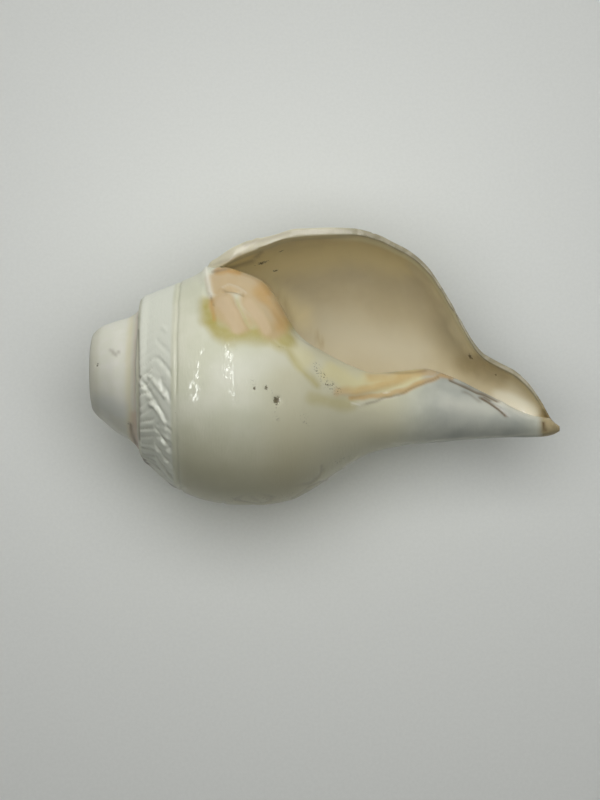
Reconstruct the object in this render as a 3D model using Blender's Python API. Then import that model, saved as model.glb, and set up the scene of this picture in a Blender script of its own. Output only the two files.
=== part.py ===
"""A carved conch shell, lying on its back with the aperture up.

The shell grew in one piece, so it is one solid. It is lofted along X from sections across
the coil: each section runs over the back, under the belly and up to the outer lip, over the
rim, down into the chamber, round its blind end and back over the columella.
+X points to the canal tip, -X to the ground spire end, +Y to the outer lip, +Z up.
"""

import math

import bmesh
import bpy
import numpy as np
from mathutils import Matrix, Vector

MM = 0.001

# Main places along the shell, in millimetres from its middle
BAND_START = -57.9
BAND_END = -45.3
LIP_START = -37.5
LIP_FINISH = 71.9
TIP_END = 74.7

# The line cut beside the carved band
BORDER_DEPTH = 0.6
BORDER_WIDTH = 0.8

# The mouth hole bored into the ground end, which leads down into the chamber
HOLE_RADIUS = 4.6
HOLE_INNER_RADIUS = 9
HOLE_START = (-80, -1.4, 2.6)
HOLE_FINISH = (-24, -4, -24)
HOLE_SIDES = 20

# How much of the belly is worn flat, so that the shell rests without rolling
REST_DEPTH = 0.45

# Stations: the shell's measures along X, each as (x, value) pairs in millimetres
CORE_Y = ((-73.8, -1.7), (-69, -2.4), (-66.6, -3), (-59, -4.1), (-45.3, -6.3), (-20, -7),
          (-8, -8.8), (0, -11), (8, -13), (24, -13.8), (40, -13.6), (56, -16.4), (65, -17.8),
          (74.7, -19.8))
BELLY_Y = ((-73.8, -1.7), (-69, -2.4), (-66.6, -3), (-59, -4.1), (-45.3, -6.3), (-22, -5.6),
           (0, 0), (24, 4), (37, 0.5), (47, -8), (56, -12), (66, -16), (74.7, -19.8))
SPIRE = ((-73.8, 9.6), (-73.4, 11.6), (-72.4, 13.1), (-70.2, 14.9), (-66.6, 17.2),
         (-58.5, 22.3), (-57.9, 25.2), (-54.3, 27.6), (-50, 30.5), (-45.3, 33.1))
BACK = SPIRE[:6] + ((-57.9, 24.4), (-54.3, 27), (-50, 30.2), (-45.3, 33.1), (-38, 35.7),
                    (-28, 37.1), (-20, 36.9), (-10.7, 34.1), (-5.6, 30.7), (-0.5, 26),
                    (4.6, 20.6), (9.7, 16.7), (14.8, 13.7), (20, 12.1), (25, 11.2),
                    (43, 9.6), (50.4, 7.7), (56, 6.1), (66, 4.5), (70.5, 3.3), (73, 2.1),
                    (74.7, 0.8))
TOP = SPIRE + ((-38, 35), (-30, 35.8), (-20, 35), (-8, 32), (0, 27), (8, 20.5), (16, 15.4),
               (24, 12.4), (40, 9.4), (56, 6.4), (66, 4.6), (70.5, 3.4), (73, 2.2),
               (74.7, 0.8))
BELLY = SPIRE + ((-38, 38), (-30, 40.6), (-22, 41.4), (-14, 41), (-4, 39), (8, 35.4),
                 (20, 30), (32, 23), (42, 17), (52, 11), (60, 7.8), (66, 5.8), (70.5, 3.8),
                 (73, 2.2), (74.7, 0.8))
LIP_Y = ((-73.8, 7.9), (-73.4, 9.8), (-72.4, 11.2), (-70.2, 12.9), (-66.6, 14.2),
         (-58.5, 18.1), (-57.9, 21.5), (-54.3, 23.3), (-45.3, 26.9), (-37.5, 30.8), (-36, 33.2),
         (-33.5, 34.5), (-28.5, 37.3), (-23.4, 39.2), (-18.3, 40.5), (-8, 42.6), (2, 42.9),
         (9, 42.7), (17.3, 40.7), (22.4, 38.3), (27.5, 35.6), (32.6, 31.3), (37.7, 24.1),
         (42.8, 15.3), (47.9, 6.6), (50.4, 3.9), (55.5, 0.9), (60.6, -1.8), (65.7, -6.8),
         (68.2, -10.5), (70.6, -14.2), (71.9, -16.4), (73, -17.7), (74.7, -19))
LIP_Z = ((-73.8, 0), (-48, 0), (-37.5, 3), (-28, 8), (-10, 10.5), (10, 10.5), (26, 8.5),
         (40, 5.5), (52, 3.6), (64, 3), (69, 2), (71.9, -1), (74.7, 0))
INNER_Y = ((-37.5, 30.8), (-31.9, 30.4), (-25.5, 28.2), (-20, 25.8), (-16, 21.8),
           (-12.8, 16.3), (-8, 8), (-1.6, 3.5), (6.3, -0.3), (15.8, -3.2), (23.8, -2.3),
           (31.7, -1.5), (39.7, -3.6), (49.2, -8), (55.6, -11.1), (61, -14), (68, -16.2),
           (71.9, -16.4))
INNER_Z = ((-37.5, 3), (-30, 9), (-20, 12), (-8, 13), (0, 12), (10, 9), (24, 6), (40, 4),
           (56, 2.4), (68, 1.4), (71.9, -1))
RIM = ((-37.5, 2), (-30, 4.2), (-19.6, 3.9), (-10.7, 2.9), (8, 2.3), (18, 1.9), (40, 1.7),
       (60, 1.7), (71.9, 1.4))
WALL = ((-37.5, 4), (0, 3.6), (24, 3.4), (44, 3), (60, 2.6), (71.9, 1.6))
CORE_DEPTH = ((-37.5, 15), (-20, 15), (0, 13), (10, 11), (24, 8.5), (40, 6.5), (56, 4),
              (71.9, 1.4))
CORE_BACK = ((-37.5, 14), (-20, 14), (0, 10), (10, 8), (24, 6), (40, 5), (56, 3), (71.9, 1.4))
CHAMBER_TURN = ((-37.5, 200), (-20, 240), (-5, 212), (10, 165), (24, 128), (40, 104),
                (56, 90), (71.9, 80))
UNDERCUT = ((-37.5, 0.6), (-28, 2.6), (0, 2.4), (24, 1.6), (56, 0.6), (71.9, 0.2))

# The length along X over which the chamber opens at the spire end and closes at the canal tip
OPENS_OVER = 16
CLOSES_OVER = 2.4

# Height of the rounded rim, as a share of its width
RIM_ROUNDING = 0.35

# Points in each stretch of a section
N_BACK = 7
N_BELLY = 7
N_SIDE = 8
N_LIP = 2
N_RIM = 4
N_CHAMBER = 11
N_INNER = 3
N_TOP = 6
N_INSIDE = N_RIM + 1 + 2 * N_CHAMBER + N_INNER


def curve(pairs):
    """A smooth curve through (x, value) pairs that never overshoots them."""
    xs = np.array([p[0] for p in pairs], float)
    ys = np.array([p[1] for p in pairs], float)
    step = np.diff(xs)
    rise = np.diff(ys) / step
    slope = np.zeros_like(ys)
    slope[0] = rise[0]
    slope[-1] = rise[-1]
    for i in range(1, len(xs) - 1):
        if rise[i - 1] * rise[i] > 0:
            before = 2 * step[i] + step[i - 1]
            after = step[i] + 2 * step[i - 1]
            slope[i] = (before + after) / (before / rise[i - 1] + after / rise[i])

    def value(x):
        x = min(max(x, xs[0]), xs[-1])
        i = min(int(np.searchsorted(xs, x, side="right")) - 1, len(xs) - 2)
        t = (x - xs[i]) / step[i]
        return ((1 + 2 * t) * (1 - t) ** 2 * ys[i] + t * (1 - t) ** 2 * step[i] * slope[i]
                + t * t * (3 - 2 * t) * ys[i + 1] + t * t * (t - 1) * step[i] * slope[i + 1])

    return value


core_y, belly_y, back, top, belly = map(curve, (CORE_Y, BELLY_Y, BACK, TOP, BELLY))
lip_y, lip_z, inner_y, inner_z = map(curve, (LIP_Y, LIP_Z, INNER_Y, INNER_Z))
rim, wall, core_depth, core_back = map(curve, (RIM, WALL, CORE_DEPTH, CORE_BACK))
chamber_turn, undercut = map(curve, (CHAMBER_TURN, UNDERCUT))


def mix(a, b, t):
    return a + (b - a) * t


def opened(x):
    """How far the chamber has opened: 0 at both ends of the lip, 1 along most of it."""
    start = min(max((x - LIP_START) / OPENS_OVER, 0), 1)
    finish = min(max((LIP_FINISH - x) / CLOSES_OVER, 0), 1)
    return math.sqrt(1 - (1 - start) ** 2) * math.sqrt(1 - (1 - finish) ** 2)


def trim(x):
    """The cut line beside the carved band, as a change of radius."""
    across = (x - BAND_END) / BORDER_WIDTH
    return -BORDER_DEPTH * math.exp(-2 * across ** 2)


def arc(centre, across, up, start, finish, count):
    """Points of an ellipse from one angle to another, in degrees, without the last."""
    angles = np.radians(np.linspace(start, finish, count + 1)[:-1])
    return [np.array((centre + across * math.cos(a), up * math.sin(a))) for a in angles]


def outside(x):
    """The section from the crest over the back and belly to the lip's outer edge."""
    cut = trim(x)
    points = arc(core_y(x), back(x) + cut, top(x) + cut, 90, 180, N_BACK)
    behind = core_y(x) - back(x) - cut
    points += arc(belly_y(x), belly_y(x) - behind, belly(x) + cut, 180, 270, N_BELLY)
    points += arc(belly_y(x), lip_y(x) + cut - belly_y(x), belly(x) + cut, 270, 360, N_SIDE)
    for i in range(N_LIP):
        points.append(np.array((lip_y(x) + cut, lip_z(x) * i / N_LIP)))
    return points


def over_top(x):
    """The section from the inner lip, over the parietal wall, to the crest."""
    cut = trim(x)
    if LIP_START < x < LIP_FINISH:
        side, height = inner_y(x), inner_z(x)
    else:
        side, height = lip_y(x) + cut, lip_z(x)
    points = []
    for angle in np.radians(np.linspace(0, 90, N_TOP + 1)[:-1]):
        points.append(np.array((core_y(x) + (side - core_y(x)) * math.cos(angle),
                                height + (top(x) + cut - height) * math.sin(angle))))
    return points


def chamber_wall(x, turn):
    """The inner face of the outer wall, at an angle turned down from the lip."""
    angle = math.radians(turn)
    thick = wall(x)
    if turn <= 90:
        across = lip_y(x) - rim(x) - belly_y(x)
        return np.array((belly_y(x) + across * math.cos(angle),
                         (thick - belly(x)) * math.sin(angle)))
    if turn <= 180:
        across = belly_y(x) - core_y(x) + back(x) - thick
        return np.array((belly_y(x) + across * math.cos(angle),
                         (thick - belly(x)) * math.sin(angle)))
    return np.array((core_y(x) + (back(x) - thick) * math.cos(angle),
                     (thick - top(x)) * math.sin(angle)))


def columella(x, turn):
    """The face of the core, at an angle turned down from the lip."""
    angle = math.radians(turn)
    across = core_back(x)
    if turn < 90:
        across = inner_y(x) - undercut(x) - core_y(x)
    return np.array((core_y(x) + across * math.cos(angle), -core_depth(x) * math.sin(angle)))


def inside(x):
    """The section over the rim, down into the chamber and back up to the inner lip."""
    edge_y, edge_z, width = lip_y(x), lip_z(x), rim(x)
    points = []
    for angle in np.radians(np.linspace(0, 180, N_RIM)):
        points.append(np.array((edge_y - width / 2 + width / 2 * math.cos(angle),
                                edge_z + width * RIM_ROUNDING * math.sin(angle))))
    rim_in = points[-1]
    lip_in = np.array((inner_y(x), inner_z(x)))
    middle = (rim_in + lip_in) / 2
    scale = opened(x)
    floor_y = inner_y(x) - undercut(x)
    points.append(mix(rim_in, np.array((edge_y - width, edge_z / 2)), scale))
    for i in range(N_CHAMBER + 1):
        s = i / N_CHAMBER
        centre = mix(rim_in, middle, s)
        points.append(mix(centre, chamber_wall(x, s * chamber_turn(x)), scale))
    for i in range(N_CHAMBER - 1, -1, -1):
        s = i / N_CHAMBER
        turn = s * chamber_turn(x)
        centre = mix(lip_in, middle, s)
        face = mix(chamber_wall(x, turn), columella(x, turn), math.sqrt(1 - s ** 3))
        points.append(mix(centre, face, scale))
    for i in range(1, N_INNER):
        rise = i / N_INNER
        point = np.array((floor_y + undercut(x) * (1 - (1 - rise) ** 2), inner_z(x) * rise))
        points.append(mix(lip_in, point, scale))
    return points


def stations():
    """Places of the sections along X, closer together where the shape turns fast."""
    places = [x for x, radius in SPIRE if x < BAND_START]
    places += [BAND_START, -54, -49.5, BAND_END - BORDER_WIDTH, BAND_END,
               BAND_END + BORDER_WIDTH, -41.5, LIP_START]
    places += [LIP_START + step for step in (0.4, 1.2, 2.6, 4.6, 7)]
    places += list(np.arange(-27.5, 25, 3.5))
    places += list(np.arange(27, 53, 2.6))
    places += [55.5, 58.5, 61.5, 64.5, 67, 69, 70.5, 71.4, LIP_FINISH, 73, 73.8, TIP_END]
    return places


def add_ring(bm, x):
    """One section's vertices. Where the chamber is shut, its points share one vertex."""
    shut = not LIP_START < x < LIP_FINISH
    ring = []
    outer, upper = outside(x), over_top(x)
    for y, z in outer:
        ring.append(bm.verts.new((x * MM, y * MM, z * MM)))
    if shut:
        y, z = upper[0]
        edge = bm.verts.new((x * MM, y * MM, z * MM))
        ring += [edge] * (N_INSIDE + 1)
        upper = upper[1:]
    else:
        ring += [bm.verts.new((x * MM, y * MM, z * MM)) for y, z in inside(x)]
    for y, z in upper:
        ring.append(bm.verts.new((x * MM, y * MM, z * MM)))
    return ring


def distinct(verts):
    """The vertices of a face in order, each once."""
    kept = []
    for vert in verts:
        if vert not in kept:
            kept.append(vert)
    return kept


def add_face(bm, verts):
    verts = distinct(verts)
    if len(verts) > 2:
        bm.faces.new(verts)


def loft_shell():
    """The shell's whole surface, outside and chamber, as one closed mesh."""
    bm = bmesh.new()
    rings = [add_ring(bm, x) for x in stations()]
    count = len(rings[0])
    for near, far in zip(rings, rings[1:]):
        for i in range(count):
            j = (i + 1) % count
            add_face(bm, (near[i], near[j], far[j], far[i]))
    add_face(bm, rings[0])
    add_face(bm, rings[-1])
    bmesh.ops.recalc_face_normals(bm, faces=bm.faces)
    return bm


def wear_flat(bm):
    """Cut the lowest part of the belly to a flat patch at z = 0 and stand the shell on it."""
    low = min(v.co.z for v in bm.verts)
    bmesh.ops.translate(bm, verts=bm.verts, vec=(0, 0, -low - REST_DEPTH * MM))
    cut = bmesh.ops.bisect_plane(bm, geom=bm.verts[:] + bm.edges[:] + bm.faces[:],
                                 plane_co=(0, 0, 0), plane_no=(0, 0, -1), clear_outer=True)
    patch_edges = [g for g in cut["geom_cut"] if isinstance(g, bmesh.types.BMEdge)]
    bmesh.ops.edgeloop_fill(bm, edges=patch_edges)
    bmesh.ops.recalc_face_normals(bm, faces=bm.faces)
    return -low - REST_DEPTH * MM


def centre_on_origin(bm):
    """Move the shell so that the middle of its box's bottom is the origin."""
    xs = [v.co.x for v in bm.verts]
    ys = [v.co.y for v in bm.verts]
    shift = Vector((-(min(xs) + max(xs)) / 2, -(min(ys) + max(ys)) / 2, 0))
    bmesh.ops.translate(bm, verts=bm.verts, vec=shift)
    return shift


def new_collection(name):
    collection = bpy.data.collections.new(name)
    bpy.context.scene.collection.children.link(collection)
    return collection


def mesh_object(name, bm, collection):
    mesh = bpy.data.meshes.new(name)
    bm.to_mesh(mesh)
    bm.free()
    made = bpy.data.objects.new(name, mesh)
    collection.objects.link(made)
    return made


def shell_material():
    """Glossy ivory shell."""
    material = bpy.data.materials.new("ivory_shell")
    material.use_nodes = True
    shader = material.node_tree.nodes["Principled BSDF"]
    shader.inputs["Base Color"].default_value = (0.78, 0.75, 0.66, 1)
    shader.inputs["Roughness"].default_value = 0.25
    shader.inputs["Metallic"].default_value = 0
    return material


def hole_cutter(collection, shift):
    """A tapered bore from outside the ground end down into the chamber."""
    start = Vector(HOLE_START) * MM + shift
    finish = Vector(HOLE_FINISH) * MM + shift
    way = finish - start
    turn = way.to_track_quat("Z", "Y").to_matrix().to_4x4()
    place = Matrix.Translation((start + finish) / 2) @ turn
    bm = bmesh.new()
    bmesh.ops.create_cone(bm, cap_ends=True, segments=HOLE_SIDES, radius1=HOLE_RADIUS * MM,
                          radius2=HOLE_INNER_RADIUS * MM, depth=way.length, matrix=place)
    cutter = mesh_object("mouth_hole_cutter", bm, collection)
    cutter.hide_render = True
    cutter.display_type = "WIRE"
    return cutter


def main():
    for old in list(bpy.data.objects):
        bpy.data.objects.remove(old, do_unlink=True)
    parts = new_collection("conch_shell_parts")
    cutters = new_collection("cutters")

    bm = loft_shell()
    rise = wear_flat(bm)
    shift = centre_on_origin(bm) + Vector((0, 0, rise))
    shell = mesh_object("conch_shell", bm, parts)
    shell.data.materials.append(shell_material())
    shell.data.shade_smooth()

    bore = shell.modifiers.new("mouth_hole", "BOOLEAN")
    bore.operation = "DIFFERENCE"
    bore.solver = "EXACT"
    bore.object = hole_cutter(cutters, shift)


main()
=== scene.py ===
# %% [markdown]
# # A carved conch shell
# The shell grew as one tube coiled round its own axis. People then ground its spire to a
# short cone, so that it can be blown, and carved a herringbone band beside the cut. The
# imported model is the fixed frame: this script gives that one node its fine surface.

# %% Load the frame
import math

import bpy
import numpy as np
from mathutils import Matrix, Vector, noise


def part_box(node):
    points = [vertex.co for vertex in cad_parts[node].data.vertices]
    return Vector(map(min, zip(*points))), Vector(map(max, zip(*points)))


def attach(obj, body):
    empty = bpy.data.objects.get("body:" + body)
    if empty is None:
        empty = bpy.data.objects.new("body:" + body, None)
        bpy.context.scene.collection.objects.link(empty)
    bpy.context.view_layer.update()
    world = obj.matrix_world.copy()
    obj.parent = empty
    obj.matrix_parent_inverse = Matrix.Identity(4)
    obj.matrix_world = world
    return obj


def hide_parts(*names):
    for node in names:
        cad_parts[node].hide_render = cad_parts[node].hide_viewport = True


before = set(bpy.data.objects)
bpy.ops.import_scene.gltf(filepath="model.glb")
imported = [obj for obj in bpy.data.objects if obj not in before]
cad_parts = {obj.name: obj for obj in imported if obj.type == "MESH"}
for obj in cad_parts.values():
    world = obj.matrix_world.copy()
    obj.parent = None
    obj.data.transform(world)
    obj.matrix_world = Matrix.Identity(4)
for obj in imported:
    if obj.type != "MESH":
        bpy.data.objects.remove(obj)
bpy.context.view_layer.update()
MM = 0.001
SHELL = "conch_shell"
bpy.ops.object.select_all(action="DESELECT")

# %% [markdown]
# ## Measures along the shell
# A boat builder draws a hull as stations, and a shell can be drawn in the same way: at each
# place along X, how far the coil reaches to its back, top, belly and lip, where the columella
# lies, and how thick the wall is. A smooth curve that never overshoots joins the stations.


# %% Smooth curves through stations
def curve(*pairs):
    """A smooth function through (x, value) pairs, in millimetres, without overshoot."""
    xs, ys = np.array(pairs, float).T
    step = np.diff(xs)
    rise = np.diff(ys) / step
    slope = np.zeros_like(ys)
    slope[0], slope[-1] = rise[0], rise[-1]
    for i in range(1, len(xs) - 1):
        if rise[i - 1] * rise[i] > 0:
            before, after = 2 * step[i] + step[i - 1], step[i] + 2 * step[i - 1]
            slope[i] = (before + after) / (before / rise[i - 1] + after / rise[i])

    def value(x):
        x = np.clip(x, xs[0], xs[-1])
        i = np.clip(np.searchsorted(xs, x, side="right") - 1, 0, len(xs) - 2)
        t = (x - xs[i]) / step[i]
        return ((1 + 2 * t) * (1 - t) ** 2 * ys[i] + t * (1 - t) ** 2 * step[i] * slope[i]
                + t * t * (3 - 2 * t) * ys[i + 1] + t * t * (t - 1) * step[i] * slope[i + 1])

    return value


print("halfway between 0 and 4", curve((0, 0), (1, 3), (2, 4))(1.0))

# %% Stations of the coil
CONE_END, BAND_START, BAND_END = -58.5, -57.9, -45.3
LIP_START, LIP_FINISH = -37.5, 71.9
END, TIP = -73.8, 74.7

GROUND = ((END, 9.6), (-73.4, 11.6), (-72.4, 13.1), (-70.2, 14.9), (-66.6, 17.2), (CONE_END, 22.3))
TURNED = GROUND + ((BAND_START, 25.2), (-54.3, 27.6), (-50, 30.5), (BAND_END, 33.1))
core_y = curve((END, -1.7), (-69, -2.4), (-66.6, -3), (-59, -4.1), (BAND_END, -6.3), (-20, -7),
               (-8, -8.8), (0, -11), (8, -13), (24, -13.8), (40, -13.6), (56, -16.4),
               (65, -17.8), (TIP, -19.8))
belly_y = curve((END, -1.7), (-69, -2.4), (-66.6, -3), (-59, -4.1), (BAND_END, -6.3),
                (-22, -5.6), (0, 0), (24, 4), (37, 0.5), (47, -8), (56, -12), (66, -16),
                (TIP, -19.8))
back = curve(*GROUND, (BAND_START, 24.4), (-54.3, 27), (-50, 30.2), (BAND_END, 33.1), (-38, 35.7),
             (-28, 37.1), (-20, 36.9), (-10.7, 34.1), (-5.6, 30.7), (-0.5, 26), (4.6, 20.6),
             (9.7, 16.7), (14.8, 13.7), (20, 12.1), (25, 11.2), (43, 9.6), (50.4, 7.7),
             (56, 6.1), (66, 4.5), (70.5, 3.3), (73, 2.1), (TIP, 0.8))
top = curve(*TURNED, (-38, 35), (-30, 35.8), (-20, 35), (-8, 32), (0, 27), (8, 20.5), (16, 15.4),
            (24, 12.4), (40, 9.4), (56, 6.4), (66, 4.6), (70.5, 3.4), (73, 2.2), (TIP, 0.8))
belly = curve(*TURNED, (-38, 38), (-30, 40.6), (-22, 41.4), (-14, 41), (-4, 39), (8, 35.4),
              (20, 30), (32, 23), (42, 17), (52, 11), (60, 7.8), (66, 5.8), (70.5, 3.8),
              (73, 2.2), (TIP, 0.8))
print("length", TIP - END, "mm; widest back", back(-28), "mm; deepest belly", belly(-22), "mm")

# %% Stations of the lip, the columella and the wall
lip_y = curve((END, 7.9), (-73.4, 9.8), (-72.4, 11.2), (-70.2, 12.9), (-66.6, 14.2),
              (CONE_END, 18.1), (BAND_START, 21.5), (-54.3, 23.3), (BAND_END, 26.9),
              (LIP_START, 30.8), (-36, 33.2), (-33.5, 34.5), (-28.5, 37.3), (-23.4, 39.2),
              (-18.3, 40.5), (-8, 42.6), (2, 42.9), (9, 42.7), (17.3, 40.7), (22.4, 38.3),
              (27.5, 35.6), (32.6, 31.3), (37.7, 24.1), (42.8, 15.3), (47.9, 6.6),
              (50.4, 3.9), (55.5, 0.9), (60.6, -1.8), (65.7, -6.8), (68.2, -10.5),
              (70.6, -14.2), (LIP_FINISH, -16.4), (73, -17.7), (TIP, -19))
lip_z = curve((END, 0), (-48, 0), (LIP_START, 3), (-28, 8), (-10, 10.5), (10, 10.5), (26, 8.5),
              (40, 5.5), (52, 3.6), (64, 3), (69, 2), (LIP_FINISH, -1), (TIP, 0))
inner_y = curve((LIP_START, 30.8), (-31.9, 30.4), (-25.5, 28.2), (-20, 25.8), (-16, 21.8),
                (-12.8, 16.3), (-8, 8), (-1.6, 3.5), (6.3, -0.3), (15.8, -3.2), (23.8, -2.3),
                (31.7, -1.5), (39.7, -3.6), (49.2, -8), (55.6, -11.1), (61, -14), (68, -16.2),
                (LIP_FINISH, -16.4))
inner_z = curve((LIP_START, 3), (-30, 9), (-20, 12), (-8, 13), (0, 12), (10, 9), (24, 6),
                (40, 4), (56, 2.4), (68, 1.4), (LIP_FINISH, -1))
rim = curve((LIP_START, 2), (-30, 4.2), (-19.6, 3.9), (-10.7, 2.9), (8, 2.3), (18, 1.9),
            (40, 1.7), (60, 1.7), (LIP_FINISH, 1.4))
wall = curve((LIP_START, 4), (0, 3.6), (24, 3.4), (44, 3), (60, 2.6), (LIP_FINISH, 1.6))
core_depth = curve((LIP_START, 15), (-20, 15), (0, 13), (10, 11), (24, 8.5), (40, 6.5),
                   (56, 4), (LIP_FINISH, 1.4))
core_back = curve((LIP_START, 14), (-20, 14), (0, 10), (10, 8), (24, 6), (40, 5), (56, 3),
                  (LIP_FINISH, 1.4))
chamber_turn = curve((LIP_START, 200), (-20, 240), (-5, 212), (10, 165), (24, 128), (40, 104),
                     (56, 90), (LIP_FINISH, 80))
undercut = curve((LIP_START, 0.6), (-28, 2.6), (0, 2.4), (24, 1.6), (56, 0.6), (LIP_FINISH, 0.2))
print("widest lip", max(lip_y(np.linspace(END, TIP, 300))))

# %% [markdown]
# ## Sections across the coil
# Each section starts at the crest and runs over the back, under the belly, up to the lip, over
# the rim, down into the chamber, round its blind end, along the columella and over the
# parietal wall back to the crest. Swept along X, these sections make the whole shell, inside
# and out, as one sheet. Where there is no aperture, the points of the chamber lie together.

# %% Where the sections lie
COLUMNS = {"back": 90, "under": 62, "side": 62, "lip": 8, "rim": 14, "brink": 4, "outer": 40,
           "inner": 34, "rise": 10, "top": 78}
places = np.concatenate([
    [END], np.arange(END + 0.15, END + 2.4, 0.25), np.arange(-71.2, CONE_END, 0.9),
    [CONE_END], np.linspace(CONE_END + 0.12, BAND_START, 5), np.arange(-57.6, -43.6, 0.34),
    np.arange(-43.4, -38, 0.8), [LIP_START], LIP_START + np.array([0.1, 0.25, 0.5, 0.85, 1.3]),
    np.arange(-35.5, -6, 0.7), np.arange(-5.5, 71.5, 0.78),
    [LIP_FINISH], np.arange(72.2, TIP - 0.2, 0.35), [TIP - 0.15, TIP]])
print("sections", len(places), "points in each", sum(COLUMNS.values()))


# %% Pieces of a section
def mix(a, b, t):
    return a + (b - a) * t


def smooth(x, low, high):
    """A soft step from 0 at low to 1 at high."""
    t = np.clip((x - low) / (high - low), 0, 1)
    return t * t * (3 - 2 * t)


def opened(x):
    """How far the chamber has opened: 0 at both ends of the lip, 1 along most of it."""
    start = np.clip((x - LIP_START) / 16, 0, 1)
    finish = np.clip((LIP_FINISH - x) / 2.4, 0, 1)
    return np.sqrt(1 - (1 - start) ** 2) * np.sqrt(1 - (1 - finish) ** 2)


def arc(centre, across, up, start, finish, count):
    """Points of an ellipse from one angle to another, in degrees, without the last."""
    angle = np.radians(np.linspace(start, finish, count + 1)[:-1])[None, :]
    return np.stack([centre[:, None] + across[:, None] * np.cos(angle),
                     up[:, None] * np.sin(angle)], -1)


def chamber_wall(x, turn):
    """The inner face of the outer wall, at an angle turned down from the lip."""
    angle = np.radians(turn)
    near = lip_y(x) - rim(x) - belly_y(x)
    far = belly_y(x) - core_y(x) + back(x) - wall(x)
    across = np.where(turn <= 90, near, far)
    low = np.stack([belly_y(x) + across * np.cos(angle), (wall(x) - belly(x)) * np.sin(angle)], -1)
    high = np.stack([core_y(x) + (back(x) - wall(x)) * np.cos(angle),
                     (wall(x) - top(x)) * np.sin(angle)], -1)
    return np.where((turn <= 180)[..., None], low, high)


def columella(x, turn):
    """The face of the core, at an angle turned down from the lip."""
    angle = np.radians(turn)
    across = np.where(turn < 90, inner_y(x) - undercut(x) - core_y(x), core_back(x))
    return np.stack([core_y(x) + across * np.cos(angle), -core_depth(x) * np.sin(angle)], -1)


print("the chamber opens to", opened(np.array([-35.0, -20.0, 0.0, 71.0])).round(2))


# %% Whole sections, all at once
def sections(x):
    """The (y, z) points of every section, as one array of sections by points."""
    n = COLUMNS
    reach = core_y(x) - back(x)
    lip, height = lip_y(x), lip_z(x)
    parts = [arc(core_y(x), back(x), top(x), 90, 180, n["back"]),
             arc(belly_y(x), belly_y(x) - reach, belly(x), 180, 270, n["under"]),
             arc(belly_y(x), lip - belly_y(x), belly(x), 270, 360, n["side"])]
    up = np.linspace(0, 1, n["lip"] + 1)[None, :-1]
    parts.append(np.stack([lip[:, None] + 0 * up, height[:, None] * up], -1))
    parts.append(inside(x, lip, height))
    open_here = ((x > LIP_START) & (x < LIP_FINISH))
    side = np.where(open_here, inner_y(x), lip)[:, None]
    rise = np.where(open_here, inner_z(x), height)[:, None]
    angle = np.radians(np.linspace(0, 90, n["top"] + 1)[None, :-1])
    core = core_y(x)[:, None]
    parts.append(np.stack([core + (side - core) * np.cos(angle),
                           rise + (top(x)[:, None] - rise) * np.sin(angle)], -1))
    return np.concatenate(parts, 1)


def inside(x, lip, height):
    """The stretch over the rim, round the chamber and back up to the inner lip."""
    n = COLUMNS
    column = x[:, None]
    width = rim(x)[:, None]
    angle = np.linspace(0, math.pi, n["rim"])[None, :]
    flat = np.sign(np.cos(angle)) * np.abs(np.cos(angle)) ** 0.6
    over = np.stack([lip[:, None] - width / 2 + width / 2 * flat,
                     height[:, None] + width * 0.3 * np.sin(angle) ** 0.8], -1)
    rim_in, lip_in = over[:, -1:], np.stack([inner_y(column), inner_z(column)], -1)
    middle, scale = (rim_in + lip_in) / 2, opened(column)[..., None]
    down = np.linspace(1, 0, n["brink"] + 2)[None, 1:-1]
    brink = np.stack([lip[:, None] - width + 0 * down, height[:, None] * down], -1)
    s = np.linspace(0, 1, n["outer"])[None, :]
    turn = s * chamber_turn(column)
    outer = mix(mix(rim_in, middle, s[..., None]), chamber_wall(column, turn), scale)
    s = np.linspace(1, 0, n["inner"] + 1)[None, 1:]
    turn = s * chamber_turn(column)
    face = mix(chamber_wall(column, turn), columella(column, turn),
               np.sqrt(1 - s ** 3)[..., None])
    inner = mix(mix(lip_in, middle, s[..., None]), face, scale)
    s = np.linspace(0, 1, n["rise"] + 1)[None, 1:-1]
    side = inner_y(column) - undercut(column) * (1 - s) ** 2
    rise = mix(lip_in, np.stack([side, inner_z(column) * s], -1), scale)
    whole = np.concatenate([over, mix(rim_in, brink, scale), outer, inner, rise], 1)
    shut = ((x <= LIP_START) | (x >= LIP_FINISH))[:, None, None]
    return np.where(shut, np.stack([lip, height], -1)[:, None, :], whole)


points = sections(places)
points = np.concatenate([points, points[:, :1]], 1)
rows, columns = points.shape[:2]
cloud = np.concatenate([np.broadcast_to(places[:, None, None], (rows, columns, 1)), points], -1)
print("grid", rows, "by", columns)

# %% [markdown]
# ## The photograph's view
# The photo looks almost straight down on the shell, 82 degrees above the table. The same
# camera numbers serve two purposes here: they place the camera, and they tell where a point
# of the shell lands in the picture, so that a fold or a crack is put where the photo shows it.

# %% Camera numbers
RAISE = 40.95 * MM
TILT = math.radians(82)
FOCAL, WIDE, HIGH = 2515.7, 600, 800
right = np.array((1, 0, 0))
up = np.array((0, math.sin(TILT), math.cos(TILT)))
behind = np.array((0, -math.cos(TILT), math.sin(TILT)))
AIM_HEIGHT, AIM_LEFT, AIM_BELOW, DISTANCE = 0.0409, 0.0080, 0.01005, 0.8
aim = np.array((0, 0, AIM_HEIGHT)) - AIM_LEFT * right - AIM_BELOW * up
eye = aim + DISTANCE * behind
node_low, node_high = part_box(SHELL)
shift = np.array((node_low[0] - END * MM, node_high[1] - points[..., 0].max() * MM, RAISE))


def in_photo(where):
    """The picture places, in pixels across and down, of points given in metres."""
    away = where - eye
    depth = -away @ behind
    return np.stack([WIDE / 2 + FOCAL * (away @ right) / depth,
                     HIGH / 2 - FOCAL * (away @ up) / depth], -1)


print("camera at", np.round(eye, 4), "shift in mm", np.round(shift / MM, 2))

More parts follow.
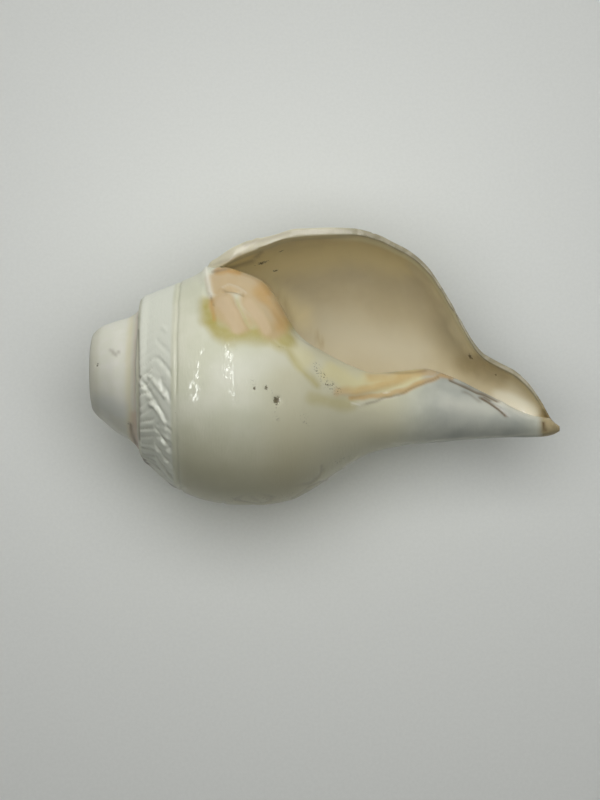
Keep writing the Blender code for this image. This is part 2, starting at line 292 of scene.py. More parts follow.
# %% [markdown]
# ## Wrap a flat sheet into the coil
# A fine flat grid is added and its points are moved onto the sections, one row to a section.
# That keeps clean rows of faces along the growth lines. The sheet's two long edges meet at
# the crest and are merged, the shut stretch of the chamber folds to one point in each
# section, and the two ends are filled, so the shell closes like the real one.

# %% Flat sheet, then the coil
bpy.ops.mesh.primitive_grid_add(x_subdivisions=columns - 1, y_subdivisions=rows - 1, size=2)
shell = bpy.context.object
shell.name = "shell_surface"
mesh = shell.data
flat = np.empty(len(mesh.vertices) * 3)
mesh.vertices.foreach_get("co", flat)
flat = flat.reshape(-1, 3)
column = np.rint((flat[:, 0] + 1) / 2 * (columns - 1)).astype(int)
row = np.rint((flat[:, 1] + 1) / 2 * (rows - 1)).astype(int)
wrapped = cloud[row, column] * MM + shift
wrapped[:, 2] = np.maximum(wrapped[:, 2], 0)
mesh.vertices.foreach_set("co", wrapped.ravel())
reach = np.concatenate([np.zeros((rows, 1)),
                        np.cumsum(np.linalg.norm(np.diff(cloud, axis=1), axis=2), 1)], 1)
top_start = columns - 1 - COLUMNS["top"]
reach[:, top_start:] -= reach[:, -1:]
places_of = mesh.attributes.new("section_place", "FLOAT", "POINT")
places_of.data.foreach_set("value", column.astype(float))
wrap = mesh.uv_layers.active or mesh.uv_layers.new(name="wrap")
wrap.name = "wrap"
corner = np.empty(len(mesh.loops), int)
mesh.loops.foreach_get("vertex_index", corner)
sheet = np.stack([(reach[row, column] + 80) / 500, (cloud[row, column, 0] + 80) / 160], -1)
wrap.data.foreach_set("uv", sheet[corner].ravel())
print("grid points", len(mesh.vertices))

# %% Close the coil and its ends
bpy.ops.object.mode_set(mode="EDIT")
bpy.ops.mesh.select_all(action="SELECT")
bpy.ops.mesh.remove_doubles(threshold=0.000001)
bpy.ops.mesh.select_all(action="DESELECT")
bpy.ops.mesh.select_non_manifold()
bpy.ops.mesh.fill()
bpy.ops.mesh.select_all(action="SELECT")
bpy.ops.mesh.normals_make_consistent(inside=False)
bpy.ops.object.mode_set(mode="OBJECT")
print("faces", len(mesh.polygons))

# %% [markdown]
# ## The mouth hole
# A blowing conch has a hole in its ground end that opens into the coil. The hole is a long
# cone taken out of the closed shell, which leaves a clean edge where the player's lips rest.

# %% Bore the mouth hole
bore_from = np.array((-80, -1.4, 2.6)) * MM + shift
bore_to = np.array((-24, -4, -24)) * MM + shift
way = Vector(bore_to - bore_from)
bpy.ops.mesh.primitive_cone_add(vertices=96, radius1=4.6 * MM, radius2=9 * MM, depth=way.length,
                                calc_uvs=False, location=(bore_from + bore_to) / 2,
                                rotation=way.to_track_quat("Z", "Y").to_euler())
cutter = bpy.context.object
bpy.ops.object.select_all(action="DESELECT")
bpy.context.view_layer.objects.active = shell
shell.select_set(True)
bore = shell.modifiers.new("mouth_hole", "BOOLEAN")
bore.operation, bore.solver, bore.object = "DIFFERENCE", "EXACT", cutter
bpy.ops.object.modifier_apply(modifier="mouth_hole")
bpy.data.objects.remove(cutter)
print("faces after the bore", len(mesh.polygons))


# %% [markdown]
# ## Relief by the photo's places
# The carver's cuts, the folds of the callus, the chips and cracks are low relief on the
# surface. Each is a line of picture places with a width and a height, and a point of the
# shell is raised or sunk along its normal by how near it lies to the line. The lines act only
# on the stretch of the surface that they belong to: the outside, the rim or the chamber.

# %% Points, normals and stretches
count = len(mesh.vertices)


def gather(owner, name, width):
    values = np.empty(count * width, np.float32)
    owner.foreach_get(name, values)
    return values.reshape(-1, width).astype(float) if width > 1 else values.astype(float)


spot = gather(mesh.vertices, "co", 3)
normal = gather(mesh.vertices, "normal", 3)
place = gather(mesh.attributes["section_place"].data, "value", 1)
ends = np.cumsum([0] + [COLUMNS[name] for name in ("back", "under", "side", "lip", "rim", "brink",
                                                   "outer", "inner", "rise")])
x_mm, y_mm, z_mm = ((spot - shift) / MM).T
picture = in_photo(spot)
rough = np.array([noise.noise_vector(Vector(p) / (4 * MM)) for p in spot])
grain = np.array([noise.noise_vector(Vector(p) / (1.3 * MM)) for p in spot])
print("points", count, "columns of the stretches", ends)


# %% Lines and areas
def span(low, high, soft=2):
    """1 on the section's points from low to high, fading over a few of them."""
    return smooth(place, low - soft, low + soft) * (1 - smooth(place, high - soft, high + soft))


facing = smooth(normal @ behind, -0.12, 0.08)
opens = smooth(x_mm, LIP_START, LIP_START + 2)
chamber = span(ends[5], ends[9] - 1, 1.5) * opens
on_rim = span(ends[4] - 1, ends[5] + 1, 1.5) * opens
within = smooth(place, ends[4] - 2, ends[4] + 2) * (1 - smooth(place, ends[9] - 2.5, ends[9]))
outside = 1 - within * opens
outside = np.where((x_mm <= LIP_START) | (x_mm >= LIP_FINISH), 1, outside)


def distance(line, warp=0.0):
    """How far each point lies from a line of picture places, in pixels."""
    at = picture + warp * rough[:, :2]
    best = np.full(count, 1e9)
    for start, finish in zip(line, line[1:]):
        a, b = np.array(start, float), np.array(finish, float)
        t = np.clip((at - a) @ (b - a) / max((b - a) @ (b - a), 1e-9), 0, 1)
        best = np.minimum(best, np.linalg.norm(at - a - t[:, None] * (b - a), axis=1))
    return best


def ridge(line, width, warp=0.0):
    """A rounded line: 1 on it, fading to 0 over its width in pixels."""
    return np.exp(-(distance(line, warp) / width) ** 2)


def area(line, half, soft, warp=3.0):
    """A broad patch along a line, with a soft and slightly ragged border."""
    return 1 - smooth(distance(line, warp), half - soft / 2, half + soft / 2)


print("points on the outside", int(outside.sum()), "in the chamber", int(chamber.sum()))

# %% [markdown]
# ## The carved band
# The carver turned a flat band beside the cut and filled it with two rows of slanting strokes
# that meet in a point. Each row is a formula that repeats round the shell. A few strokes that
# the photo shows clearly are added one by one, and the worn upper part is almost smooth.

# %% The herringbone strokes
MIDDLE = BAND_START + 5.4
SHORT, LONG = 3.3, 6.6


def blade(along, pitch):
    """A leaf of a stroke: a sharp cut, then a swelling ridge that falls away slowly."""
    t = (along / pitch) % 1.0
    return np.where(t < 0.18, -np.sin(math.pi * t / 0.18),
                    np.sin(math.pi * ((t - 0.18) / 0.82) ** 0.6) * 0.9)


def herringbone():
    """Height of the strokes from -1 to 1, and where the band is."""
    on_band = smooth(x_mm, BAND_START + 0.3, BAND_START + 1.2)
    on_band *= 1 - smooth(x_mm, BAND_END - 2.2, BAND_END - 1.2)
    across = x_mm - MIDDLE + 0.5 * rough[:, 0]
    along = np.arctan2(z_mm, y_mm - core_y(x_mm)) * 30.0 + 0.8 * rough[:, 1]
    left = blade(along + 0.9 * across, SHORT)
    far = blade(along - 1.15 * across + 1.2, LONG) + 0.3 * np.sin(2 * math.pi * along / 2.4)
    far *= 1 - 0.85 * facing * (1 - smooth(picture[:, 1], 420, 432))
    strokes = mix(left, far, smooth(across, -0.5, 0.5))
    return strokes * (0.75 + 0.6 * rough[:, 2]), on_band


strokes, on_band = herringbone()
print("band strokes round the shell", round(2 * math.pi * 30 / SHORT))

# %% Wear, borders and single cuts
visible_v = picture[:, 1] + 4 * rough[:, 0]
worn = 1 - facing * (0.85 * (1 - smooth(visible_v, 345, 385)))
band_edge = np.exp(-((x_mm - BAND_START - 0.25) / 0.3) ** 2)
border = np.exp(-2 * ((x_mm - BAND_END + 0.25 * rough[:, 1]) / 0.55) ** 2)
border *= 1 - 0.7 * facing * smooth(visible_v, 385, 400) * (1 - smooth(visible_v, 430, 445))
height = on_band * worn * strokes * 0.36 - border * 0.32 - 0.15 * band_edge
CUTS = (
    ([(157, 341), (164, 347), (171, 354)], 2.2, -0.22),
    ([(158, 359), (166, 367), (174, 377)], 1.7, -0.5),
    ([(155, 357), (147, 365), (140, 372)], 1.8, -0.2),
    ([(139, 377), (149, 392), (157, 403), (166, 420)], 1.7, -0.35),
    ([(161, 380), (167, 392), (171, 402)], 2.2, -0.4),
    ([(146, 375), (150, 374)], 1.8, -0.25),
    ([(150, 378), (157, 386), (164, 396)], 2.1, 0.5),
    ([(152, 405), (158, 412), (165, 423)], 2.1, 0.5),
    ([(142, 387), (143, 389)], 1.8, 0.3),
    ([(148, 397), (149, 399)], 1.8, 0.3),
    ([(171, 403), (173, 408)], 1.8, 0.4),
    ([(172, 384), (174, 388)], 1.8, 0.4),
    ([(163, 328), (165, 330)], 2.0, 0.3),
    ([(161, 441), (165, 445)], 2.2, 0.4),
    ([(155, 445), (159, 451)], 1.9, 0.4),
    ([(163, 457), (167, 463)], 1.9, 0.4),
    ([(167, 473), (171, 478)], 1.9, 0.35),
    ([(158, 436), (153, 441)], 1.8, -0.35),
    ([(168, 430), (170, 455), (173, 475)], 1.8, -0.35),
    ([(173, 425), (174, 450), (177, 474), (180, 484)], 1.8, 0.3))
carved = np.zeros(count)
for line, width, tall in CUTS:
    carved += on_band * facing * tall * ridge(line, width, 1.6) * (0.9 + 0.9 * grain[:, 0])
height += carved
print("deepest cut of the band", round(height.min(), 2), "mm")

# %% [markdown]
# ## Folds, pits and chips
# Beside the aperture the shell laid callus in soft folds, the canal has a crack and a groove,
# and the rim is chipped. Each fold is a line with a width in pixels and a height in
# millimetres. Each pit is a place with a width and a depth.

# %% Folds of the callus and the canal
FOLDS = (
    ([(206, 268), (208, 280), (211, 296)], 2.6, 0.45),
    ([(199, 282), (205, 293), (209, 302)], 3.5, -0.3),
    ([(210, 300), (213, 319)], 2.0, -0.15),
    ([(222, 290), (229, 285), (238, 288), (247, 294)], 1.8, 0.4),
    ([(224, 293), (234, 290), (243, 295)], 1.7, -0.45),
    ([(228, 295), (237, 295), (241, 298)], 1.7, 0.35),
    ([(243, 297), (247, 293)], 2.0, -0.3),
    ([(237, 300), (240, 309), (246, 319), (251, 329)], 2.6, -0.5),
    ([(254, 300), (262, 312), (271, 327), (269, 335)], 3.0, 0.4),
    ([(246, 300), (256, 314), (264, 328)], 4.0, 0.35),
    ([(226, 300), (232, 315), (238, 328)], 7.0, 0.45),
    ([(262, 297), (276, 312), (284, 324)], 3.5, -0.3),
    ([(262, 341), (280, 350), (299, 367)], 4.0, -0.15),
    ([(356, 405), (373, 400), (390, 394), (401, 391), (411, 385), (428, 378), (440, 375),
      (449, 378)], 2.6, 0.07),
    ([(362, 408), (372, 404), (386, 399), (400, 395), (412, 388)], 2.6, -0.06),
    ([(340, 394), (363, 392), (392, 383), (415, 373), (428, 370)], 3.0, 0.2),
    ([(353, 399), (380, 393), (405, 384), (424, 374)], 2.0, -0.1),
    ([(440, 390), (456, 391), (476, 393)], 5.0, -0.45),
    ([(450, 380), (465, 386), (484, 394), (498, 401)], 1.6, -0.45),
    ([(481, 397), (488, 401), (499, 409), (506, 416)], 1.8, -0.6),
    ([(450, 373), (458, 376)], 1.3, -0.25),
    ([(544, 423), (545, 431)], 1.5, -0.5),
    ([(137, 318), (138, 372), (139, 440)], 1.4, -0.25),
    ([(392, 443), (440, 440), (478, 437), (540, 434)], 2.2, 0.2),
    ([(318, 479), (325, 480)], 1.4, 0.3),
    ([(356, 457), (343, 468)], 1.5, 0.35),
    ([(353, 462), (346, 468)], 1.4, -0.4),
    ([(322, 466), (322, 473)], 1.4, -0.3),
    ([(325, 479), (345, 467), (367, 453), (400, 446)], 1.5, 0.2),
)
for line, width, tall in FOLDS:
    height += outside * facing * tall * ridge(line, width, 1.0)
print("folds", len(FOLDS))

# %% Pits, and chips of the rim
PITS = ((277, 400, 3.0, 0.6), (266, 388, 1.3, 0.4), (255, 388, 1.4, 0.3), (253, 380, 1.2, 0.25),
        (245, 381, 1.2, 0.25), (276, 416, 1.4, 0.15), (305, 425, 1.4, 0.15), (338, 462, 1.5, 0.2),
        (97, 365, 1.5, 0.3), (158, 425, 1.5, 0.4), (128, 425, 1.2, 0.3), (183, 489, 2.0, 0.7))
NICKS = ((358, 232, 2.4, 0.5), (377, 238, 2.0, 0.35), (455, 316, 3.0, 0.7), (252, 240, 2.5, 0.3),
         (430, 278, 2.0, 0.3), (442, 292, 2.2, 0.3))
for holes, where in ((PITS, outside * facing), (NICKS, on_rim)):
    for across, down, width, deep in holes:
        height -= where * deep * ridge([(across, down), (across, down)], width)
chips = smooth(grain[:, 0] + 0.5 * grain[:, 1], 0.2, 0.55) * smooth(x_mm, 5, 14)
height -= on_rim * (chips * 0.22 - 0.08 * rough[:, 2])
height -= 0.45 * on_rim * smooth(x_mm, -21.2, -20.0) * (1 - smooth(x_mm, -15, -9))
print("relief from", round(height.min(), 2), "to", round(height.max(), 2), "mm")

# %% [markdown]
# ## Carving on the hidden side
# The photo shows the ends of a few carved curves at the lower edge of the body. They belong
# to a leaf scroll on the side that faces the table. The scroll here is a plain one: two rows
# of leaves, each with an edge and a vein, between thin lines. A leaf is a cosine bent a little
# to one side, and a point's distance from that curve gives the depth of the cut.

# %% Leaf scroll on the underside
SCROLL_START, ROW_WIDE, LEAF_LONG, GIRTH = -30, 17, 15, 38
turn = np.arctan2(z_mm, y_mm - belly_y(x_mm))
under = smooth(-normal[:, 2], -0.42, -0.2) * outside
rows_of = (x_mm - SCROLL_START) / ROW_WIDE
row_of = np.floor(rows_of)
leaf_across = rows_of - row_of - 0.5 + 0.02 * rough[:, 0]
leaf_along = (turn * GIRTH / LEAF_LONG + 0.5 * row_of + 0.35 * leaf_across) % 1.0 - 0.5
bent = leaf_across - 0.08 * np.sin(2 * math.pi * leaf_along)
leaf = np.abs(bent) - 0.34 * (np.cos(leaf_along * math.pi) - 0.15) * (1 - 0.6 * leaf_along)
edge_line = np.exp(-(leaf / 0.06) ** 2)
vein = np.exp(-(bent / 0.05) ** 2) * (np.abs(leaf_along) < 0.36)
on_scroll = under * smooth(x_mm, -31, -30) * (1 - smooth(x_mm, 3, 5))
scroll = on_scroll * (edge_line + 0.6 * vein)
frame_lines = under * (np.exp(-((x_mm + 32) / 0.6) ** 2) + np.exp(-((x_mm - 7) / 0.6) ** 2))
flat_patch = smooth(spot[:, 2] / MM, 0.02, 0.6)
height = (height - 0.3 * scroll - 0.25 * frame_lines) * flat_patch
print("leaves in a row round the shell", round(2 * math.pi * GIRTH / LEAF_LONG))

# %% [markdown]
# ## Move the points
# All the relief is one height for each point, so it is applied in one step, along the normals.
# The flat that the shell lies on is kept: no height there, and nothing goes below the table.

# %% Raise and sink the surface
spot += normal * height[:, None] * MM
spot[:, 2] = np.maximum(spot[:, 2], 0)
mesh.vertices.foreach_set("co", spot.astype(np.float32).ravel())
mesh.update()
print("moved", int((np.abs(height) > 0.05).sum()), "points")

# %% [markdown]
# ## Where each colour lies
# A shell's colours follow how it grew: glossy ivory layers on the body, peach and orange
# where fresh callus was laid beside the aperture, tan inside, and grey horn at the canal.
# Some masks are painted light and shade instead: lighter and darker patches in the chamber,
# a sheen beside the crest, a highlight on a fold, and shade in the cuts, in creases and on
# the lower side. Each is kept as a number at every point, from 0 to 1, for the material to read.

# %% Stretches that the colours keep to
def strongest(*values):
    """The largest of several masks at each point."""
    return np.maximum.reduce(values)


visible = outside * facing
edge_of_mouth = np.exp(-((place - ends[9] + 0.5) / 1.3) ** 2) * smooth(x_mm, -32, -28)
edge_of_mouth *= 1 - smooth(x_mm, 20, 30)
groove = 0.7 * area([(237, 300), (241, 310), (251, 329)], 1.6, 4, 1.5)
inner_lip = span(ends[8] - 4, columns, 2) * opens
skin = strongest(facing * outside, smooth(normal @ behind, -0.6, -0.3) * inner_lip)
print("points that the photo shows", int(visible.sum()))

# %% Inside the chamber, with painted light and shade
fields = {
    "chamber": chamber,
    # painted light: the chamber's floor is lighter where the light falls into it
    "painted_light_floor": area([(330, 330), (380, 345), (412, 352)], 18, 40) * chamber,
    # painted light: the chamber's walls under the left of the rim and beside the callus are lighter,
    # against their shade
    "painted_light_wall": chamber * strongest(area([(240, 268), (290, 262), (350, 250), (400, 262)], 14, 26),
                                    0.8 * area([(262, 285), (300, 318)], 12, 24)),
    # painted shade: the chamber is darker deep on the right
    "painted_shade_wall": chamber * area([(446, 330), (470, 352)], 10, 40),
    "stain": chamber * 0.5 * strongest(area([(314, 334), (323, 345)], 2.5, 6, 2),
                                       area([(262, 283), (284, 304), (291, 322)], 3, 9, 2)),
    # painted light: the steep wall just under the right of the rim is lighter, against its shade
    "painted_light_rim_wall": chamber * area([(415, 258), (440, 290), (458, 325), (472, 348)], 7, 12),
    # painted light: a lighter strip where the rim turns down into the chamber, over that steep strip's
    # shade
    "painted_light_lip_turn": span(ends[5] - 1, ends[5] + 3, 1.5) * smooth(x_mm, -2, 12) * (1 - smooth(x_mm, 44, 54)),
}
print("masks so far", len(fields))

# %% [markdown]
# ## Where the gloss breaks
# The polish is worn beside the crest, so that the two long reflections there break into short
# dashes. One mask takes the even gloss away along both, and the other lets dashes through.

# %% Gloss masks
fields |= {
    "rippled": visible * strongest(
        0.9 * area([(203, 348), (201, 357)], 1.8, 2.5, 1),
        0.95 * area([(200, 362), (197, 378)], 2.8, 2.5, 1),
        area([(200, 383), (194, 386), (192, 400)], 5, 5, 1),
        0.9 * area([(207, 384), (205, 393)], 0.8, 1.5, 0),
        1.1 * area([(226.5, 339), (225.5, 350)], 1.0, 1.5, 0), area([(230, 344), (229, 352)], 1.8, 2, 1),
        0.7 * area([(235, 345), (238, 352)], 2.0, 3, 1), 0.8 * area([(229, 354), (228, 375)], 4, 4, 1),
        0.55 * area([(232, 377), (236, 400)], 5, 5, 1)),
    "streaks": visible * strongest(area([(198, 330), (196, 415)], 15, 6),
                                   area([(229, 325), (231, 415)], 17, 6)),
}
print("masks so far", len(fields))

# %% [markdown]
# ## Dirt and age on the body
# The side away from the band is a little yellower. Dirt sits in small pits, always in groups,
# so it is a few patches, which the material fills with fine dots.

# %% Body masks
fields |= {
    "warm": smooth(x_mm, -26, -10) * (1 - smooth(x_mm, 18, 34)) * outside,
    "dirty": facing * strongest(
        area([(317, 366), (320, 373), (324, 377)], 3.5, 4, 1), area([(326, 383), (337, 391)], 4, 4, 1),
        area([(277, 399), (276, 404)], 3, 4, 1), 0.7 * area([(266, 388), (276, 397)], 1.2, 3, 1),
        0.8 * area([(252, 380), (256, 389)], 1.5, 4, 1), 0.5 * area([(276, 412), (276, 420)], 2, 4),
        0.5 * area([(302, 414), (306, 424)], 2, 4), 0.6 * area([(338, 462), (352, 456)], 2, 4),
        0.5 * area([(280, 347), (284, 348)], 1.5, 3, 1), 0.5 * area([(358, 232), (378, 238)], 2, 4),
        0.6 * area([(206, 262), (212, 272)], 3, 4), 0.4 * area([(230, 502), (300, 498)], 5, 8)),
}
print("masks so far", len(fields))

# %% [markdown]
# ## Rim, band and ground cone
# The rim is unpolished edge, thick and pale where it starts. The band and the cone were cut
# through the outer layer, so they are whiter, with rust and yellow in the corner between.
# The band's cuts, its borders and its step are darker: painted shade.

# %% Rim, band and cone masks
fields |= {
    "rim": on_rim,
    "thick_rim": on_rim * (1 - smooth(x_mm, 0, 14)),
    "band": on_band * outside,
    # painted shade in the band's cuts, along its borders and at its step
    "cut": on_band * worn * smooth(-strokes, 0.1, 0.8) + border * 0.8 + band_edge * 0.8,
    "cone": 1 - smooth(x_mm, BAND_START - 0.5, BAND_START),
    "cone_edge": 1 - smooth(x_mm, END + 2.6, END + 4),
    "cone_gold": np.exp(-((x_mm + 60.6 + 0.3 * rough[:, 0]) / 1.1) ** 2),
    "cone_rust": np.exp(-((x_mm + 58.8) / 0.5) ** 2) * 0.6
                 + 0.8 * area([(133, 415), (133, 432), (135, 447)], 3.5, 6, 1.5) * (x_mm < BAND_START),
    "cone_blue": area([(100, 402), (118, 410)], 9, 14) * (x_mm < CONE_END - 2),
}
print("masks so far", len(fields))

# %% [markdown]
# ## Callus beside the aperture
# The animal laid fresh callus here: peach pads with pink crowns, an olive border that soaked
# into the ivory, and an amber streak that runs to the canal.

# %% Callus masks
fields |= {
    "peach": strongest(
        area([(219, 284), (242, 280), (260, 288)], 13, 7, 2), area([(222, 304), (240, 322)], 13, 7, 2),
        area([(252, 298), (272, 326)], 14, 9, 2)) * skin * (1 - groove),
    "pink": strongest(area([(224, 303), (231, 314), (238, 327)], 7, 5, 1.5),
                      area([(248, 303), (257, 315), (267, 331)], 4.5, 4, 1.5)) * visible * (1 - groove),
    "olive": strongest(
        area([(208, 305), (210, 319), (219, 331), (233, 336), (252, 334), (266, 335)], 8, 13, 3),
        0.7 * area([(222, 320), (245, 326), (264, 330)], 9, 8, 2),
        0.8 * area([(215, 312), (222, 325), (234, 332)], 6, 6, 2), groove,
        0.85 * area([(287, 326), (277, 331), (288, 341)], 8, 10, 2),
        0.6 * area([(270, 341), (288, 352), (302, 370), (318, 385)], 3, 8, 2),
        0.7 * area([(314, 336), (321, 343)], 1.5, 5, 2),
        0.45 * area([(312, 398), (336, 403), (350, 405)], 6, 10, 2)) * skin,
    "amber": strongest(
        0.75 * area([(262, 291), (273, 298), (283, 314), (283, 322)], 8, 13, 2),
        1.2 * area([(218, 271), (228, 269), (238, 272)], 3.5, 6, 1.5),
        0.8 * area([(211, 298), (212, 308), (214, 319)], 1.8, 4, 1),
        0.6 * area([(338, 392), (363, 391), (392, 383), (413, 374), (434, 371)], 4.5, 7, 2.5),
        0.7 * area([(350, 398), (380, 396), (402, 391), (422, 383), (441, 375), (452, 377)], 2.6, 4, 2),
        0.5 * area([(372, 378), (395, 378), (412, 374)], 6, 11, 2)) * skin,
    "cream": strongest(area([(330, 372), (355, 385), (385, 384), (415, 377)], 9, 12),
                       0.7 * area([(275, 338), (290, 345), (305, 360)], 8, 12)) * skin,
}
print("masks so far", len(fields))

# %% [markdown]
# ## Body, canal and tip
# Towards the canal the ivory gives way to blue-grey, and the tip is bare horn-coloured shell.
# Chalk marks the edges where the polish has gone. Beside the crest lies a painted sheen, and
# along the top of the first fold of the callus a painted highlight.

# %% Canal, chalk and painted sheen masks
fields |= {
    # painted sheen: a broad pale patch beside the crest, where the body faces the light
    "painted_sheen": area([(225, 372), (262, 362), (292, 352), (302, 340)], 12, 26) * visible,
    "grey": smooth(x_mm, 18, 40) * outside * (1 - 0.35 * smooth(x_mm, 60, 68)),
    "horn": strongest(smooth(x_mm, 67.0, 69.5), 0.45 * area([(462, 362), (500, 380)], 9, 14)),
    "chalk_and_highlight": strongest(0.9 * area([(500, 398), (517, 404), (532, 411)], 8, 10), visible * strongest(
        ridge([(206, 268), (208, 280), (211, 296)], 2.4),
        # painted highlight along the top of the first fold of the callus
        0.3 * ridge([(223, 288), (229, 285), (238, 288), (246, 293)], 1.2),
        0.3 * ridge([(352, 405), (368, 402), (380, 400), (396, 397)], 1.2, 0.8),
        0.45 * area([(420, 258), (434, 280), (450, 310), (460, 330)], 1.6, 3, 1),
        0.5 * area([(512, 372), (524, 381), (535, 394)], 1.6, 3, 1),
        0.35 * area([(448, 403), (480, 406), (515, 411)], 6, 14),
        0.7 * area([(385, 393), (388, 392)], 0.8, 2, 1),
        0.6 * area([(356, 457), (343, 467)], 0.8, 2, 0),
        0.5 * area([(318, 479), (325, 480)], 0.6, 2, 0),
        0.45 * ridge([(147, 460), (156, 470), (168, 481), (178, 487)], 1.1),
        0.8 * area([(352, 403), (360, 405)], 0.8, 2, 1),
        0.6 * area([(392, 443), (440, 440), (478, 437), (540, 434)], 0.8, 3, 1))),
}
print("masks so far", len(fields))

# %% [markdown]
# ## Grime in the lines
# Old oil stays in the cracks. Other lines are painted shade: under the end of the lip, in the
# crease of the first fold, beside the white ridge at the lip's end and along the band's step.
# These lines follow the folds and cuts made above, a little narrower. The last mask is painted
# shade too: the body is darker and more olive on the side that faces away from the light.

# %% Grime and painted shade masks
fields |= {
    "grime_and_shade": strongest(0.3 * scroll, 0.25 * edge_of_mouth, facing * strongest(
        # painted shade under the end of the lip
        0.5 * ridge([(213, 272), (234, 267), (250, 262), (262, 252)], 1.6) * (1 - on_rim),
        # painted shade in the crease under the first fold
        0.45 * ridge([(224, 291), (243, 295)], 1.2),
        ridge([(450, 380), (465, 386), (484, 394), (498, 401)], 1.5) * 0.85 * (1 - chamber),
        ridge([(481, 397), (488, 401), (499, 409), (506, 416)], 1.6) * (1 - chamber),
        ridge([(544, 423), (545, 431)], 1.3),
        # painted shade beside the white ridge at the lip's end
        0.5 * area([(210, 294), (212, 300), (213, 305)], 0.6, 2, 0),
        0.3 * ridge([(322, 466), (322, 473)], 1.2), 0.3 * ridge([(353, 462), (346, 468)], 1.2),
        0.6 * ridge([(143, 458), (152, 468), (163, 479), (176, 488)], 1.0),
        0.4 * area([(111, 350), (115, 355), (118, 352)], 1.4, 3, 1),
        0.8 * area([(484, 396), (491, 401)], 1.0, 2, 0.5),
        0.35 * area([(240, 255), (225, 261), (208, 266)], 1.0, 4, 2) * on_rim,
        ridge([(366, 404), (374, 402), (386, 397), (399, 395), (409, 389), (421, 385), (438, 377)],
              1.2, 1.2) * 0.4,
        0.4 * area([(464, 391), (472, 396), (480, 401)], 1.5, 4, 1.5),
        0.3 * area([(244, 244), (262, 240), (285, 233.5), (312, 231.5), (335, 231)], 2.0, 3, 1) * on_rim,
        0.15 * area([(280, 234), (312, 232), (340, 231)], 3.0, 3, 1) * on_rim,
        0.4 * ridge([(372, 371), (397, 373), (413, 373), (426, 371)], 1.6) * outside,
        # painted shade at the band's step
        ridge([(138, 330), (139, 372), (139, 440)], 1.1) * 0.5,
        0.8 * area([(131, 424), (133, 436), (136, 444)], 1.5, 4, 1.5))),
    # painted shade: the body is darker and more olive on the side that faces away from the light
    "under": smooth(-normal[:, 1], 0.2, 0.95) * outside * smooth(x_mm, -48, -42)
             * (1 - smooth(x_mm, -10, 12)),
}
print("masks in all", len(fields))

# %% Keep the masks on the mesh
masks = {name: np.clip(values, 0, 1) for name, values in fields.items()}
for name, values in masks.items():
    layer = mesh.attributes.new(name, "FLOAT", "POINT")
    layer.data.foreach_set("value", values.astype(np.float32))
print("masks", ", ".join(masks))
mesh.attributes.remove(mesh.attributes["section_place"])


# %% [markdown]
# ## Shader maths
# Node trees are easier to read as formulas. A small class wraps a socket so that plus, minus
# and times build Math nodes, and one method makes any other node.


# %% Socket maths
class Value:
    """A number in a material that varies over the surface."""

    def __init__(self, tree, socket):
        self.tree, self.socket = tree, socket

    def math(self, kind, *others, clamp=False):
        node = self.tree.nodes.new("ShaderNodeMath")
        node.operation, node.use_clamp = kind, clamp
        for slot, item in zip(node.inputs, (self, *others)):
            wire(self.tree, slot, item)
        return Value(self.tree, node.outputs[0])

    def __add__(self, other):
        return self.math("ADD", other)

    def __mul__(self, other):
        return self.math("MULTIPLY", other)

    def __sub__(self, other):
        return self.math("SUBTRACT", other)

    def __rsub__(self, other):
        return (self * -1.0) + other

    __radd__, __rmul__ = __add__, __mul__

    def steep(self, low, high):
        """0 below low, 1 above high, and a soft step between."""
        return Surface.of(self.tree).node("ShaderNodeMapRange", {"interpolation_type": "SMOOTHSTEP"},
                                          {"Value": self, "From Min": low, "From Max": high})

    def clamp(self):
        return self.math("ADD", 0.0, clamp=True)


def wire(tree, slot, item):
    if isinstance(item, Value):
        tree.links.new(item.socket, slot)
    elif isinstance(item, bpy.types.NodeSocket):
        tree.links.new(item, slot)
    else:
        slot.default_value = item


class Surface:
    """One material and the nodes that feed its shader."""

    def __init__(self, tree, shader=None):
        self.tree, self.shader = tree, shader

    @classmethod
    def of(cls, tree):
        return cls(tree)

    @classmethod
    def new(cls, name):
        material = bpy.data.materials.new(name)
        material.use_nodes = True
        made = cls(material.node_tree, material.node_tree.nodes["Principled BSDF"])
        made.material = material
        return made

    def node(self, kind, settings, sockets, output=0):
        node = self.tree.nodes.new(kind)
        for name, value in settings.items():
            setattr(node, name, value)
        for name, value in sockets.items():
            wire(self.tree, node.inputs[name], value)
        return Value(self.tree, node.outputs[output])

    def read(self, name):
        return self.node("ShaderNodeAttribute", {"attribute_name": name}, {}, "Fac")

    def noise(self, where, scale, detail=3.0, rough=0.55):
        return self.node("ShaderNodeTexNoise", {}, {"Vector": where, "Scale": scale,
                                                    "Detail": detail, "Roughness": rough})

    def stretch(self, where, scale):
        return self.node("ShaderNodeVectorMath", {"operation": "MULTIPLY"},
                         {0: where, 1: scale}, "Vector")

    def mix(self, amount, first, second):
        """Two colours mixed by an amount."""
        node = self.tree.nodes.new("ShaderNodeMix")
        node.data_type = "RGBA"
        wire(self.tree, node.inputs["Factor"], amount)
        wire(self.tree, node.inputs["A"], first)
        wire(self.tree, node.inputs["B"], second)
        return Value(self.tree, node.outputs["Result"])

    def feed(self, name, item):
        wire(self.tree, self.shader.inputs[name], item)

    def speck(self, where, at, wide, tall, rag):
        """A ragged dark speck at a place in metres, with its half sizes in millimetres."""
        near = self.node("ShaderNodeVectorMath", {"operation": "SUBTRACT"},
                         {0: where, 1: at}, "Vector")
        near = self.stretch(near, (1000 / wide, 1000 / tall, 1000 / tall))
        far = self.node("ShaderNodeVectorMath", {"operation": "LENGTH"}, {0: near}, "Value")
        return 1.0 - (far * 0.7 + rag * 3.0).steep(2.0, 2.45)

    def bump(self, height, distance):
        return self.node("ShaderNodeBump", {}, {"Height": height, "Distance": distance,
                                                "Strength": 1.0}, "Normal")


